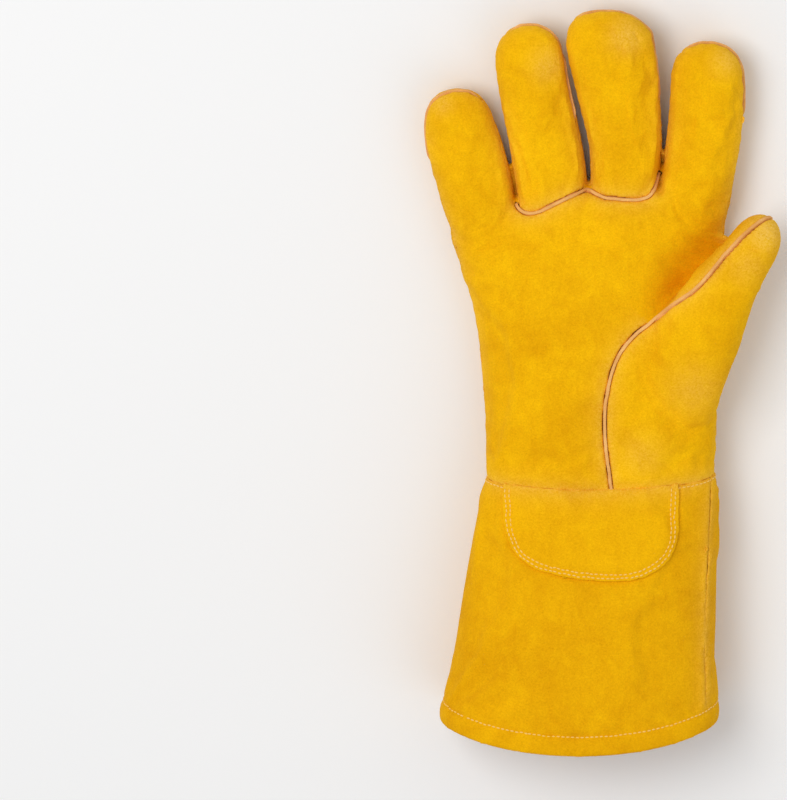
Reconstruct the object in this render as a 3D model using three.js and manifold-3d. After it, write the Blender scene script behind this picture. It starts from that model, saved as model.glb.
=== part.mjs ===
// A right-hand welding glove in gold split cowhide, lying on its back with the palm up.
// Millimetres. X runs across the hand towards the thumb, Y from the hem to the fingertips, Z up.
// The glove is drawn as one hollow form, a body with four finger tubes and a thumb, and is then
// cut along its seams into the leather pieces that are sewn together: cuff, cuff patch, palm,
// back, two finger fronts, three gussets, two thumb pieces, and the welts in the seams.

import * as THREE from "three";
import { mergeVertices } from "three/addons/utils/BufferGeometryUtils.js";
import Module from "manifold-3d";

const wasm = await Module();
wasm.setup();

// Driving dimensions
const LEATHER = 1.6; // thickness of the split leather
const GAP = 0.3; // clearance between two pieces that meet
const WELT_WIDTH = 1.6; // leather strip sewn into a seam
const WELT_PROUD = 0.9; // how far a welt stands out of the surface
const HEM_HEIGHT = 9; // turned-up edge of the cuff, two layers thick
const HEM_CURVE = 11; // the hem is cut this much shorter at the sides than in the middle
const WRIST_Y = 125; // seam between the cuff and the hand, on the middle line
const WRIST_CURVE = 4; // the wrist seam rises this much at the sides
const GUSSET_DEPTH = 11; // width of the strip between front and back at a finger's root
const GUSSET_END = 9; // the strip between the fingers narrows to nothing this far from a fingertip
const PATCH_THICKNESS = 1.4; // the patch sewn on the cuff below the palm

// The regions that cut the glove reach past it on all sides, and lengthways between these places.
const FAR = 250;
const BEFORE_HEM = -20;
const FINGERS_FROM = 240;
const PAST_FINGERTIPS = 380;

// Roundness of the sections: 2 is an ellipse, more is squarer.
const SQUARENESS = 2.4;
const BODY_SIDES = 20;
const FINGER_SIDES = 14;

// The body from hem to knuckles: left and right edge, top, and the height of its round underside.
// Where that is below zero the leather is pressed flat on the surface that the glove lies on.
// lean is how much further forward a section reaches for each millimetre towards the thumb.
const BODY_ROWS = [
  { y: 0, left: -73.4, right: 62.8, top: 68, under: -1.6 },
  { y: 10, left: -72, right: 61.7, top: 65.8, under: -1.6 },
  { y: 30, left: -68, right: 60.8, top: 63.1, under: -1.6 },
  { y: 72, left: -61.6, right: 61.6, top: 57.8, under: -1.6 },
  { y: 108, left: -55.2, right: 62.2, top: 51, under: -1.2 },
  { y: 120, left: -52, right: 61.8, top: 48, under: 0.6 },
  { y: 126.5, left: -49.4, right: 60, top: 46, under: 2.2 },
  { y: 133, left: -49.8, right: 59.6, top: 46.6, under: 0.6 },
  { y: 162, left: -51, right: 60.5, top: 46.4, under: -1.6 },
  { y: 203, left: -55.2, right: 62.4, top: 42, under: -1.6 },
  { y: 232, left: -62.2, right: 63.8, top: 36.5, under: -1.6, lean: 0.05 },
  { y: 247, left: -66.4, right: 65, top: 33, under: -1.2, lean: 0.1 },
  { y: 257, left: -67, right: 66.2, top: 30.5, under: 0, lean: 0.15 },
  { y: 264.6, left: -64.6, right: 64.4, top: 27.5, under: 2, lean: 0.19 },
  { y: 268.6, left: -59, right: 60, top: 22, under: 6.5, lean: 0.2 },
];

// Each finger's middle line from inside the body to its end, with its half width and half depth
// there. The fingertips curl up a little. tip is the length over which the end is rounded off, and
// weltFrom is where the welt round the fingertip starts.
const LITTLE = {
  tip: 17,
  weltFrom: 276,
  rows: [
    { y: 232, x: -46.6, z: 15, halfWidth: 12, halfDepth: 10.5 },
    { y: 256, x: -52, z: 14.6, halfWidth: 17.2, halfDepth: 14.8 },
    { y: 284, x: -59, z: 14.4, halfWidth: 17.8, halfDepth: 14 },
    { y: 300, x: -61.9, z: 16.4, halfWidth: 17.2, halfDepth: 12.8 },
    { y: 316, x: -61.4, z: 20, halfWidth: 16, halfDepth: 12 },
  ],
};
const RING = {
  tip: 19,
  weltFrom: 305,
  rows: [
    { y: 232, x: -17.4, z: 15, halfWidth: 13, halfDepth: 11 },
    { y: 266, x: -18.6, z: 14.6, halfWidth: 16.9, halfDepth: 14.8 },
    { y: 290, x: -21.8, z: 14.4, halfWidth: 17.2, halfDepth: 14 },
    { y: 318, x: -27, z: 16.6, halfWidth: 16.8, halfDepth: 13 },
    { y: 348.6, x: -31.2, z: 22, halfWidth: 16.8, halfDepth: 12 },
  ],
};
const MIDDLE = {
  tip: 19,
  weltFrom: 309,
  rows: [
    { y: 232, x: 17, z: 15, halfWidth: 12.6, halfDepth: 11 },
    { y: 266, x: 16.6, z: 14.8, halfWidth: 16.3, halfDepth: 15 },
    { y: 290, x: 16.4, z: 14.6, halfWidth: 17.6, halfDepth: 14.2 },
    { y: 318, x: 12.6, z: 16.6, halfWidth: 20, halfDepth: 13.4 },
    { y: 355.8, x: 7.2, z: 23, halfWidth: 20.8, halfDepth: 12.4 },
  ],
};
const INDEX = {
  tip: 17,
  weltFrom: 301,
  rows: [
    { y: 232, x: 45.6, z: 15, halfWidth: 12.4, halfDepth: 10.5 },
    { y: 257, x: 48.8, z: 14.8, halfWidth: 17, halfDepth: 14.9 },
    { y: 286, x: 53.4, z: 14.6, halfWidth: 17.9, halfDepth: 14.1 },
    { y: 310, x: 56, z: 16.6, halfWidth: 17.7, halfDepth: 13 },
    { y: 339.6, x: 56.2, z: 21, halfWidth: 17.4, halfDepth: 12 },
  ],
};
// The thumb lies across the front of the palm's edge and points up and outwards. seam is how far
// its seam lies to the index side of the middle line.
const THUMB = {
  tip: 13,
  rows: [
    { y: 150, x: 36, z: 23, halfWidth: 18, halfDepth: 15, seam: 24 },
    { y: 172, x: 41.4, z: 28.5, halfWidth: 21.8, halfDepth: 17.5, seam: 24 },
    { y: 195.6, x: 48.9, z: 34.5, halfWidth: 22.4, halfDepth: 17, seam: 20 },
    { y: 220.5, x: 60.7, z: 37.5, halfWidth: 19.3, halfDepth: 14.6, seam: 6 },
    { y: 240, x: 74.4, z: 38.5, halfWidth: 13.8, halfDepth: 12.6, seam: 6 },
    { y: 257.5, x: 86, z: 38, halfWidth: 10.6, halfDepth: 11, seam: 0 },
  ],
};
// Height of the seam round the edge of the front pieces, from the wrist to the fingertips.
const FRONT_SEAM = [
  { y: BEFORE_HEM, z: 24 },
  { y: 130, z: 22 },
  { y: 200, z: 21 },
  { y: 262, z: 20 },
  { y: 290, z: 19.6 },
  { y: 318, z: 21.2 },
  { y: 338, z: 24.4 },
  { y: PAST_FINGERTIPS, z: 31 },
];

// Seam across the roots of the ring and middle fingers, on the palm side.
const ROOT_SEAM = [
  { x: -36.6, y: 266 },
  { x: -35.2, y: 260 },
  { x: -31, y: 257.6 },
  { x: -25.5, y: 258.1 },
  { x: -17.5, y: 262.2 },
  { x: -9.6, y: 265.8 },
  { x: -1.6, y: 267.7 },
  { x: 6.4, y: 265.5 },
  { x: 15.9, y: 264.7 },
  { x: 24, y: 264.7 },
  { x: 29.5, y: 267.5 },
  { x: 33.2, y: 276 },
];

// Lines that part two neighbouring fingers, from their fork to beyond the fingertips.
const LITTLE_RING_GAP = [
  { x: -36.6, y: FINGERS_FROM },
  { x: -36.6, y: 262 },
  { x: -40.4, y: 282 },
  { x: -45, y: 305 },
  { x: -47, y: PAST_FINGERTIPS },
];
const RING_MIDDLE_GAP = [
  { x: -1, y: FINGERS_FROM },
  { x: -1.4, y: 267 },
  { x: -3.2, y: 290 },
  { x: -8.8, y: 318 },
  { x: -10.6, y: 330 },
  { x: -11.4, y: 336 },
  { x: -14, y: PAST_FINGERTIPS },
];
const MIDDLE_INDEX_GAP = [
  { x: 33, y: FINGERS_FROM },
  { x: 33.6, y: 272 },
  { x: 35.4, y: 295 },
  { x: 35.8, y: 320 },
  { x: 35, y: PAST_FINGERTIPS },
];

// Seam between the palm and the thumb's wing, from the wrist to the thumb's root.
const THUMB_SEAM = [
  { x: 10.8, y: 110 },
  { x: 9.4, y: 130 },
  { x: 6.9, y: 150 },
  { x: 7.2, y: 170 },
  { x: 12, y: 189 },
  { x: 20, y: 200.4 },
  { x: 30.4, y: 208 },
  { x: 42, y: 214 },
];
const THUMB_SEAM_SLOPE = 0.46; // the seam of the thumb leans over by this much for each mm of height

// The seam that closes the cuff, near its thumb side.
const CUFF_SEAM = [
  { x: 56.4, y: -10 },
  { x: 55.2, y: 55 },
  { x: 58.4, y: 140 },
];

// Outline of the patch sewn on the cuff below the palm.
const PATCH_EDGE = [
  { x: -41, y: 140 },
  { x: -41, y: 117 },
  { x: -39.2, y: 103.2 },
  { x: -33.5, y: 93.8 },
  { x: -21.5, y: 87.9 },
  { x: 0, y: 84.2 },
  { x: 19.1, y: 84.2 },
  { x: 31, y: 88.6 },
  { x: 38.2, y: 95.8 },
  { x: 41.1, y: 107.6 },
  { x: 41.6, y: 140 },
];

// The fingers in order, each between the lines that part it from its neighbours.
const LEFT_EDGE = [
  { x: -FAR, y: FINGERS_FROM },
  { x: -FAR, y: PAST_FINGERTIPS },
];
const RIGHT_EDGE = [
  { x: FAR, y: FINGERS_FROM },
  { x: FAR, y: PAST_FINGERTIPS },
];
const FINGERS = [
  { name: "little", digit: LITTLE, left: LEFT_EDGE, right: LITTLE_RING_GAP },
  { name: "ring", digit: RING, left: LITTLE_RING_GAP, right: RING_MIDDLE_GAP },
  { name: "middle", digit: MIDDLE, left: RING_MIDDLE_GAP, right: MIDDLE_INDEX_GAP },
  { name: "index", digit: INDEX, left: MIDDLE_INDEX_GAP, right: RIGHT_EDGE },
];

const GOLD_LEATHER = { color: 0xe3a412, roughness: 0.9, metalness: 0 };
const WELT_LEATHER = { color: 0xe0a35a, roughness: 0.85, metalness: 0 };

// Evenly spaced values from one end to the other.
function steps(from, to, count) {
  return Array.from({ length: count + 1 }, (_, i) => from + ((to - from) * i) / count);
}

// A smooth curve through two or three named columns of a table.
function columnCurve(rows, columns) {
  const points = rows.map((row) => new THREE.Vector3(...columns.map((name) => row[name])));
  return new THREE.CatmullRomCurve3(points);
}

// The value of a table's column at a given value of another column, on a smooth curve.
function smoothValue(rows, from, to) {
  const curve = columnCurve(rows, [from, to]);
  return (value) => {
    let low = 0;
    let high = 1;
    for (let step = 0; step < 30; step++) {
      const middle = (low + high) / 2;
      if (curve.getPoint(middle).x < value) low = middle;
      else high = middle;
    }
    return curve.getPoint(low).y;
  };
}

const frontSeamHeight = smoothValue(FRONT_SEAM, "y", "z");

// A closed surface through rings of equal length, each an array of Vector3, with a fan on each end.
function loft(rings) {
  const count = rings[0].length;
  const positions = rings.flat().flatMap((p) => [p.x, p.y, p.z]);
  const indices = [];
  for (let ring = 0; ring + 1 < rings.length; ring++) {
    for (let i = 0; i < count; i++) {
      const a = ring * count + i;
      const b = ring * count + ((i + 1) % count);
      indices.push(a, a + count, b + count, a, b + count, b);
    }
  }
  for (const ring of [0, rings.length - 1]) {
    const hub = positions.length / 3;
    const middle = new THREE.Vector3();
    rings[ring].forEach((p) => middle.addScaledVector(p, 1 / count));
    positions.push(middle.x, middle.y, middle.z);
    for (let i = 0; i < count; i++) {
      const a = ring * count + i;
      const b = ring * count + ((i + 1) % count);
      indices.push(...(ring === 0 ? [a, b, hub] : [b, a, hub]));
    }
  }
  const geometry = new THREE.BufferGeometry();
  geometry.setAttribute("position", new THREE.Float32BufferAttribute(positions, 3));
  geometry.setIndex(indices);
  return geometry;
}

// A closed three.js geometry as a solid that can be joined and cut.
function solid(geometry) {
  const bare = geometry.clone();
  bare.deleteAttribute("normal");
  bare.deleteAttribute("uv");
  const merged = mergeVertices(bare, 1e-4);
  const vertProperties = merged.attributes.position.array;
  const triVerts = new Uint32Array(merged.index.array);
  return new wasm.Manifold(new wasm.Mesh({ numProp: 3, vertProperties, triVerts }));
}

function join(...solids) {
  return solids.reduce((all, one) => all.add(one));
}

// The points of a squarish oval round a middle. The part below the floor is pressed flat.
function oval(sides, middle, across, up, floor) {
  const bend = (value) => Math.sign(value) * Math.abs(value) ** (2 / SQUARENESS);
  return Array.from({ length: sides }, (_, i) => {
    const angle = (2 * Math.PI * i) / sides;
    const point = middle.clone();
    point.addScaledVector(across, bend(Math.cos(angle)));
    point.addScaledVector(up, bend(Math.sin(angle)));
    point.z = Math.max(point.z, floor);
    return point;
  });
}

// The body, drawn in by inset on all sides; a negative inset makes it larger.
function bodyForm(inset) {
  const floor = Math.max(inset, 0);
  const last = BODY_ROWS.length - 1;
  const rings = BODY_ROWS.map(({ y, left, right, top, under, lean = 0 }, i) => {
    const x = (left + right) / 2;
    const shift = i === 0 ? -FAR / 10 : i === last ? -inset : 0;
    const middle = new THREE.Vector3(x, y + lean * x + shift, (top + under) / 2);
    const halfWidth = (right - left) / 2 - inset;
    const across = new THREE.Vector3(halfWidth, lean * halfWidth, 0);
    const up = new THREE.Vector3(0, 0, (top - under) / 2 - inset);
    return oval(BODY_SIDES, middle, across, up, floor);
  });
  return solid(loft(rings));
}

// A place on a digit's middle line, a given share of the way along it, with its own directions.
function digitFrame(digit) {
  const line = columnCurve(digit.rows, ["x", "y", "z"]);
  const size = columnCurve(digit.rows, ["halfWidth", "halfDepth"]);
  return (share) => {
    const t = line.getUtoTmapping(share);
    const tangent = line.getTangent(t);
    const across = new THREE.Vector3(tangent.y, -tangent.x, 0).normalize();
    const up = new THREE.Vector3().crossVectors(across, tangent).normalize();
    const { x: halfWidth, y: halfDepth } = size.getPoint(t);
    return { at: line.getPoint(t), across, up, halfWidth, halfDepth, length: line.getLength() };
  };
}

// A finger or thumb, drawn in by inset on all sides, with a blunt round end.
function digitForm(digit, inset) {
  const frame = digitFrame(digit);
  const { length } = frame(0);
  const end = length - inset;
  const tip = digit.tip - inset;
  const tipShares = [0.54, 0.24, 0.06];
  const places = [...steps(0, end - tip, 5), ...tipShares.map((share) => end - tip * share)];
  const rings = places.map((place) => {
    const { at, across, up, halfWidth, halfDepth } = frame(Math.min(place / length, 1));
    const fromEnd = Math.min((end - place) / tip, 1);
    const rounding = Math.sqrt(1 - (1 - fromEnd) ** 2.5);
    across.multiplyScalar((halfWidth - inset) * rounding);
    up.multiplyScalar((halfDepth - inset) * rounding);
    return oval(FINGER_SIDES, at, across, up, Math.max(inset, 0));
  });
  return solid(loft(rings));
}

// The whole glove's form without holes, drawn in by inset.
function gloveForm(inset) {
  const fingers = FINGERS.map(({ digit }) => digitForm(digit, inset));
  return join(bodyForm(inset), digitForm(THUMB, inset), ...fingers);
}

// A straight upright prism on a plan outline of { x, y } points.
function planPrism(outline) {
  const shape = new THREE.Shape(outline.map(({ x, y }) => new THREE.Vector2(x, y)));
  const geometry = new THREE.ExtrudeGeometry(shape, { depth: 2 * FAR, bevelEnabled: false });
  return solid(geometry.translate(0, 0, -FAR));
}

// A straight prism on a side outline of { y, z } points, across the whole width of the glove.
function sidePrism(outline) {
  const shape = new THREE.Shape(outline.map(({ y, z }) => new THREE.Vector2(y, z)));
  const geometry = new THREE.ExtrudeGeometry(shape, { depth: 2 * FAR, bevelEnabled: false });
  const alongY = new THREE.Vector3(0, 1, 0);
  const alongZ = new THREE.Vector3(0, 0, 1);
  const alongX = new THREE.Vector3(1, 0, 0);
  geometry.applyMatrix4(new THREE.Matrix4().makeBasis(alongY, alongZ, alongX));
  return solid(geometry.translate(-FAR, 0, 0));
}

// The upright region between two lines that both run towards the fingertips.
function between(left, right) {
  return planPrism([...left, ...right.toReversed()]);
}

// Everything towards the fingers from a line across the glove that rises at the sides.
function beyond(middleY, rise) {
  const { left, right } = BODY_ROWS[0];
  const edge = steps(-1.3, 1.3, 12).map((share) => ({
    x: (left + right) / 2 + (share * (right - left)) / 2,
    y: middleY + rise * share ** 2,
  }));
  return planPrism([...edge, { x: FAR, y: 2 * FAR }, { x: -FAR, y: 2 * FAR }]);
}

// An upright wall that follows a plan curve.
function wall(points, halfThickness) {
  const curve = columnCurve(points, ["x", "y"]);
  const side = (offset) =>
    steps(0, 1, 15).map((t) => {
      const { x, y } = curve.getPoint(t);
      const tangent = curve.getTangent(t);
      return { x: x - tangent.y * offset, y: y + tangent.x * offset };
    });
  return between(side(halfThickness), side(-halfThickness));
}

// Everything above the front seam's surface, raised by lift.
function aboveFrontSeam(lift) {
  const edge = steps(BEFORE_HEM, PAST_FINGERTIPS, 12).map((y) => ({ y, z: frontSeamHeight(y) + lift }));
  return sidePrism([...edge, { y: PAST_FINGERTIPS, z: FAR }, { y: BEFORE_HEM, z: FAR }]);
}

// The gusset's back seam runs below the front seam by GUSSET_DEPTH at the finger's root, and
// closes up with it near the fingertip. This is the layer between two shares of that depth.
function gussetLayer({ digit }, fromShare, toShare, clearance) {
  const [start, root, , , tip] = digit.rows.map((row) => row.y);
  const end = tip - GUSSET_END;
  const edge = (share, lift) =>
    steps((start + root) / 2, end, 7).map((y) => {
      const closing = Math.max((y - root) / (end - root), 0) ** 2;
      return { y, z: frontSeamHeight(y) - share * GUSSET_DEPTH * (1 - closing) + lift };
    });
  return sidePrism([...edge(toShare, -clearance), ...edge(fromShare, clearance).reverse()]);
}

// The strip between front and back on the facing sides of two neighbouring fingers. The regions
// of the two sides overlap a little at the fork, so that they join.
function gussetRegion(finger, next, clearance) {
  const nearSide = between(finger.digit.rows, finger.right.map(({ x, y }) => ({ x: x + GAP, y })));
  const farSide = between(next.left, next.digit.rows);
  return join(
    gussetLayer(finger, 0, 1, clearance).intersect(nearSide),
    gussetLayer(next, 0, 1, clearance).intersect(farSide),
  );
}

// The seam round a fingertip: the front seam, and the back seams of the gussets.
function fingertipSeam(finger, halfThickness) {
  const { digit, left, right } = finger;
  const backSeam = gussetLayer(finger, 1, 1, halfThickness);
  const layers = [aboveFrontSeam(-halfThickness).subtract(aboveFrontSeam(halfThickness))];
  if (left !== LEFT_EDGE) layers.push(backSeam.intersect(between(left, digit.rows)));
  if (right !== RIGHT_EDGE) layers.push(backSeam.intersect(between(digit.rows, right)));
  const fingertip = beyond(digit.weltFrom - halfThickness, 0).intersect(between(left, right));
  return join(...layers).intersect(fingertip);
}

// The seam across the roots of the ring and middle fingers.
function rootSeam(halfThickness) {
  return wall(ROOT_SEAM, halfThickness).intersect(aboveFrontSeam(WELT_WIDTH / 2 - halfThickness + GAP));
}

// The index side of the thumb, from its seam on, which is moved over by shift.
function thumbIndexSide(shift) {
  const frame = digitFrame(THUMB);
  const seam = smoothValue(THUMB.rows, "y", "seam");
  const reach = 40;
  const rings = steps(0, 1.15, 8).map((share) => {
    const { at, across, up, length } = frame(Math.min(share, 1));
    const side = seam(at.y) + shift;
    const ahead = new THREE.Vector3().crossVectors(up, across);
    at.addScaledVector(ahead, Math.max(share - 1, 0) * length);
    const corners = [
      { height: reach, left: 2 * reach },
      { height: -reach, left: 2 * reach },
      { height: -reach, left: side - reach * THUMB_SEAM_SLOPE },
      { height: reach, left: side + reach * THUMB_SEAM_SLOPE },
    ];
    return corners.map(({ height, left }) =>
      at.clone().addScaledVector(across, -left).addScaledVector(up, height),
    );
  });
  return solid(loft(rings));
}

// The thumb's wing on the palm. Its far edge hides under the thumb.
function wingRegion(clearance) {
  const seam = columnCurve(THUMB_SEAM, ["x", "y"]).getPoints(16);
  const outline = [...seam, { x: 90, y: 218 + 3 * clearance }, { x: 90, y: THUMB_SEAM[0].y }];
  return planPrism(outline).intersect(aboveFrontSeam(GAP / 2 - clearance));
}

// The seam from the wrist along the wing and up the thumb, as deep as a welt that stands proud.
function thumbSeam(halfThickness, proud) {
  const onPalm = wall(THUMB_SEAM, halfThickness).intersect(aboveFrontSeam(GAP));
  const onThumb = thumbIndexSide(-halfThickness).subtract(thumbIndexSide(halfThickness));
  return join(onPalm.subtract(digitForm(THUMB, 0)), onThumb.intersect(digitForm(THUMB, -proud)));
}

// The glove's leather skin, open at the hem, and a thicker one for the welts to stand out of.
const hollow = join(
  gloveForm(2 * LEATHER),
  gloveForm(LEATHER).intersect(beyond(HEM_HEIGHT, HEM_CURVE)),
);
const skin = gloveForm(0).subtract(hollow).intersect(beyond(0, HEM_CURVE));
const proudSkin = gloveForm(-WELT_PROUD).subtract(hollow);
const cuffEnd = beyond(WRIST_Y - GAP / 2, WRIST_CURVE);
const hand = beyond(WRIST_Y + GAP / 2, WRIST_CURVE);

// The hand's leather, without the room that the welts take in its seams.
const weltHalf = WELT_WIDTH / 2;
const roomHalf = weltHalf + GAP;
const handSkin = skin
  .intersect(hand)
  .subtract(join(...FINGERS.map((finger) => fingertipSeam(finger, roomHalf))))
  .subtract(rootSeam(roomHalf))
  .subtract(thumbSeam(roomHalf, WELT_PROUD + GAP));

const gussetPairs = FINGERS.slice(0, -1).map((finger, i) => [finger, FINGERS[i + 1]]);
const gussetRoom = join(...gussetPairs.map(([finger, next]) => gussetRegion(finger, next, GAP)));
const thumb = digitForm(THUMB, 0);
const thumbRoom = digitForm(THUMB, -GAP);
const frontSkin = handSkin.intersect(aboveFrontSeam(GAP / 2)).subtract(gussetRoom);
const rootCurve = columnCurve(ROOT_SEAM, ["x", "y"]).getPoints(16);
const middleFronts = between(LITTLE_RING_GAP.slice(2), [...rootCurve, ...MIDDLE_INDEX_GAP.slice(2)]);
const ringSide = between(LEFT_EDGE, RING_MIDDLE_GAP);

function cuff() {
  const slit = wall(CUFF_SEAM, GAP / 2).intersect(aboveFrontSeam(0));
  return skin.subtract(cuffEnd).subtract(slit);
}

function cuffPatch() {
  const layer = bodyForm(-GAP - PATCH_THICKNESS).subtract(bodyForm(-GAP));
  const outline = planPrism(columnCurve(PATCH_EDGE, ["x", "y"]).getPoints(24));
  return layer.intersect(outline).intersect(aboveFrontSeam(0)).subtract(cuffEnd);
}

function palm() {
  return frontSkin.subtract(middleFronts).subtract(wingRegion(GAP)).subtract(thumbRoom);
}

function back() {
  return handSkin.subtract(aboveFrontSeam(-GAP / 2)).subtract(gussetRoom).subtract(thumbRoom);
}

function thumbOuter() {
  const indexSide = thumbRoom.intersect(thumbIndexSide(0));
  return handSkin.intersect(join(wingRegion(0), thumb)).subtract(indexSide);
}

function thumbInner() {
  return handSkin.intersect(thumb).intersect(thumbIndexSide(0)).subtract(wingRegion(GAP));
}

// A solid as a named mesh.
function leather(name, piece, look) {
  const { vertProperties, triVerts } = piece.getMesh();
  const geometry = new THREE.BufferGeometry();
  geometry.setAttribute("position", new THREE.BufferAttribute(vertProperties, 3));
  geometry.setIndex(new THREE.BufferAttribute(triVerts, 1));
  geometry.computeVertexNormals();
  const mesh = new THREE.Mesh(geometry, new THREE.MeshStandardMaterial(look));
  mesh.name = name;
  return mesh;
}

const group = new THREE.Group();
group.add(leather("cuff", cuff(), GOLD_LEATHER));
group.add(leather("cuff_patch", cuffPatch(), GOLD_LEATHER));
group.add(leather("palm", palm(), GOLD_LEATHER));
group.add(leather("ring_front", frontSkin.intersect(middleFronts).intersect(ringSide), GOLD_LEATHER));
group.add(leather("middle_front", frontSkin.intersect(middleFronts).subtract(ringSide), GOLD_LEATHER));
group.add(leather("back", back(), GOLD_LEATHER));
group.add(leather("thumb_outer", thumbOuter(), GOLD_LEATHER));
group.add(leather("thumb_inner", thumbInner(), GOLD_LEATHER));
for (const [finger, next] of gussetPairs) {
  const gusset = handSkin.intersect(gussetRegion(finger, next, 0));
  group.add(leather(`gusset_${finger.name}_${next.name}`, gusset, GOLD_LEATHER));
}
for (const finger of FINGERS) {
  const welt = proudSkin.intersect(fingertipSeam(finger, weltHalf));
  group.add(leather(`welt_${finger.name}`, welt, WELT_LEATHER));
}
const rootWelt = proudSkin.intersect(rootSeam(weltHalf));
const thumbWelt = proudSkin.intersect(thumbSeam(weltHalf, WELT_PROUD)).intersect(hand);
group.add(leather("welt_finger_roots", rootWelt, WELT_LEATHER));
group.add(leather("welt_thumb", thumbWelt, WELT_LEATHER));

// The glove's own frame has its origin under the middle of its outline.
const bounds = new THREE.Box3().setFromObject(group);
const middle = bounds.getCenter(new THREE.Vector3());
for (const mesh of group.children) mesh.position.set(-middle.x, -middle.y, -bounds.min.z);

export default group;
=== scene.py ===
# A right-hand stick welding glove in gold split cowhide, lying on its back with the palm up.
# Metres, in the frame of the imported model: X runs across the hand to the thumb, Y from the hem to
# the fingertips, Z up out of the palm.
from collections import namedtuple
from math import pi

import bmesh
import bpy
import numpy as np
from mathutils import Matrix, Vector, noise
from mathutils.bvhtree import BVHTree
from mathutils.kdtree import KDTree


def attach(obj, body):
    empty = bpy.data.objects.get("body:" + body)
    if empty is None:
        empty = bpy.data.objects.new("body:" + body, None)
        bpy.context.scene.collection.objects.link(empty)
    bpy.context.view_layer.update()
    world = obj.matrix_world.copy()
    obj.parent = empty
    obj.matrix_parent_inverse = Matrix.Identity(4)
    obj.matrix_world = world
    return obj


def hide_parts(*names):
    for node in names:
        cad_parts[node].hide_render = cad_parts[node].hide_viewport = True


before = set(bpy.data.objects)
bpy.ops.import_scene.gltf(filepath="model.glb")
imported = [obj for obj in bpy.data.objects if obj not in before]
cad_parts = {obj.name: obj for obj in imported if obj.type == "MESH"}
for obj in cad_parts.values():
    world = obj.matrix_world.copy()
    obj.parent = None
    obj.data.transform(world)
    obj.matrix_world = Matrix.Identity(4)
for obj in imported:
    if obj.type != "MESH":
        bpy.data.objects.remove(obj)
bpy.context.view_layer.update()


# The glove's leather form
# The sewn leather is one soft hollow form, a body with four fingers and a thumb. It is drawn here
# on the pattern, in millimetres, and later puffed out between its seams and cut into its panels.

MM = 0.001
PATTERN_MIDDLE = Vector((5.983, 178.049, 0))  # middle of the glove's outline on the pattern
SQUARENESS = 2.4  # of the sections: 2 is an ellipse, more is squarer
OVAL_SIDES = 88
RING_PITCH = 2.5
TIP_RINGS = 12
ROW_STEPS = 9  # of a smooth curve from each of its rows to the next
GRAIN_SIZE = 2.2  # of the quads that the form is made of
SPREAD = 2.6  # of the fingers while they are meshed, to keep the gaps between them open
SPREAD_FROM = 222
SPREAD_TO = 262
TIP_BLUNTNESS = 2.5  # of the digits: 2 is a round tip, more is blunter

Section = namedtuple("Section", "y left right top under lean")
BODY = [
    Section(-8, -73.9, 63.2, 68.6, -1.6, 0),
    Section(0, -73.4, 62.8, 68, -1.6, 0),
    Section(10, -72, 61.7, 65.8, -1.6, 0),
    Section(30, -68, 60.8, 63.1, -1.6, 0),
    Section(72, -61.6, 61.6, 57.8, -1.6, 0),
    Section(108, -55.2, 62.2, 51, -1.2, 0),
    Section(120, -52, 61.8, 48, 0.6, 0),
    Section(126.5, -49.4, 60, 46, 2.2, 0),
    Section(133, -49.8, 59.6, 46.6, 0.6, 0),
    Section(162, -51, 60.5, 46.4, -1.6, 0),
    Section(203, -55.2, 62.4, 42, -1.6, 0),
    Section(232, -62.2, 63.8, 36.5, -1.6, 0.05),
    Section(247, -66.4, 65, 33, -1.2, 0.1),
    Section(257, -67, 66.2, 30.5, 0, 0.15),
    Section(264.6, -64.6, 64.4, 27.5, 2, 0.19),
    Section(268.6, -59, 60, 22, 6.5, 0.2),
]
Joint = namedtuple("Joint", "y x z half_width half_depth")
Digit = namedtuple("Digit", "name tip welt_left welt_right joints")  # a welt starts at those Y
LITTLE = Digit("little", 17, 279, 311, [
    Joint(232, -46.6, 15, 12, 10.5),
    Joint(256, -52, 14.6, 17.2, 14.8),
    Joint(284, -59.5, 14.4, 18.2, 14),
    Joint(300, -62.7, 16.4, 16.3, 12.8),
    Joint(315.2, -62.8, 20, 15.2, 12),
])
RING = Digit("ring", 21, 344, 299, [
    Joint(232, -17.4, 15, 13, 11),
    Joint(266, -18.6, 14.6, 16.9, 14.8),
    Joint(290, -21.8, 14.4, 17.2, 14),
    Joint(318, -27.6, 16.6, 16.7, 13),
    Joint(348, -31.4, 22, 16.5, 12),
])
MIDDLE = Digit("middle", 16, 351, 309, [
    Joint(232, 17, 15, 12.6, 11),
    Joint(266, 16.6, 14.8, 16.3, 15),
    Joint(290, 16.4, 14.6, 17.6, 14.2),
    Joint(318, 12.4, 16.6, 20, 13.4),
    Joint(341, 8.6, 20.6, 20.8, 12.9),
    Joint(354.8, 9.2, 23, 20.7, 12.4),
])
INDEX = Digit("index", 19, 335, 301, [
    Joint(232, 45.6, 15, 12.4, 10.5),
    Joint(257, 48.8, 14.8, 17, 14.9),
    Joint(286, 53.4, 14.6, 17.9, 14.1),
    Joint(310, 55.2, 16.6, 17.8, 13),
    Joint(339.2, 54.9, 21, 16.8, 12),
])
THUMB = Digit("thumb", 16, 0, 0, [
    Joint(150, 36, 23, 18, 15),
    Joint(172, 41.4, 28.5, 21.8, 17.5),
    Joint(195.6, 48.9, 34.5, 22.4, 17),
    Joint(220.2, 61.8, 37.5, 17.8, 14.6),
    Joint(239, 74.2, 38.5, 12.8, 12.6),
    Joint(258.2, 85.4, 38, 10.2, 11),
])
FINGERS = [LITTLE, RING, MIDDLE, INDEX]


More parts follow.
